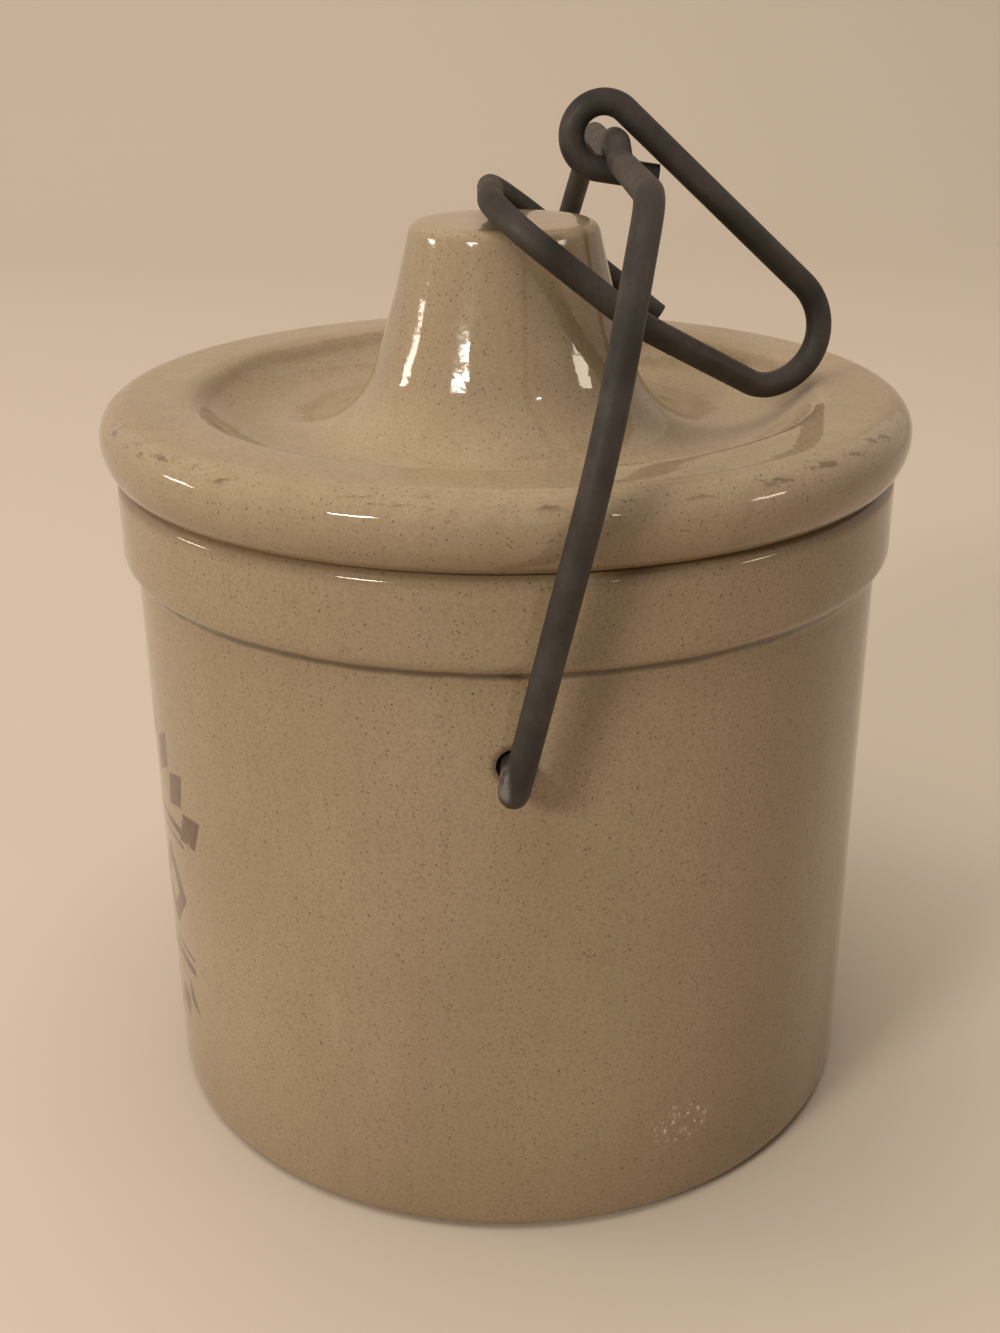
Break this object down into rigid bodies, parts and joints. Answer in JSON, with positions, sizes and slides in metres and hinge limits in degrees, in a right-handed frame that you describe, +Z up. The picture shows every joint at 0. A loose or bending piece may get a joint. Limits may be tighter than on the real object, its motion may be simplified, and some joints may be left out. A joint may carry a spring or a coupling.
{
  "type": "cheese crock",
  "caption": "tan stoneware cheese crock with a knobbed lid, a steel wire bail hinged in its sides and a bent wire clamp that holds the lid down",
  "frame": {"origin": "centre of the foot ring's resting plane, at z = 0", "axes": "Z up the crock's axis; X along the line of the two sockets that the bail turns in; the bail leans towards +Y and the printed side faces -Y"},
  "size_m": [0.111, 0.102, 0.1304],
  "materials": {
    "stoneware_body": "glossy tan salt glaze with fine dark specks and a worn brown print of plain shapes",
    "stoneware_lid": "glossy tan glaze with fine dark specks",
    "wire_bail": "dulled steel wire, dark with age, scuffed pale at the pins",
    "wire_clamp": "dulled steel wire, dark with age"
  },
  "bodies": {
    "crock": {"crock_body": "stoneware_body", "lid": "stoneware_lid"},
    "bail": {"bail": "wire_bail"},
    "clamp": {"clamp": "wire_clamp"}
  },
  "joints": [
    {"name": "bail_hinge", "type": "hinge", "parent": "crock", "child": "bail", "pos_m": [0, 0, 0.0642], "axis": [1, 0, 0], "range_deg": [0, 6]},
    {"name": "clamp_hinge", "type": "hinge", "parent": "bail", "child": "clamp", "pos_m": [0, 0.01351, 0.12421], "axis": [1, 0, 0], "range_deg": [-8, 1]}
  ]
}
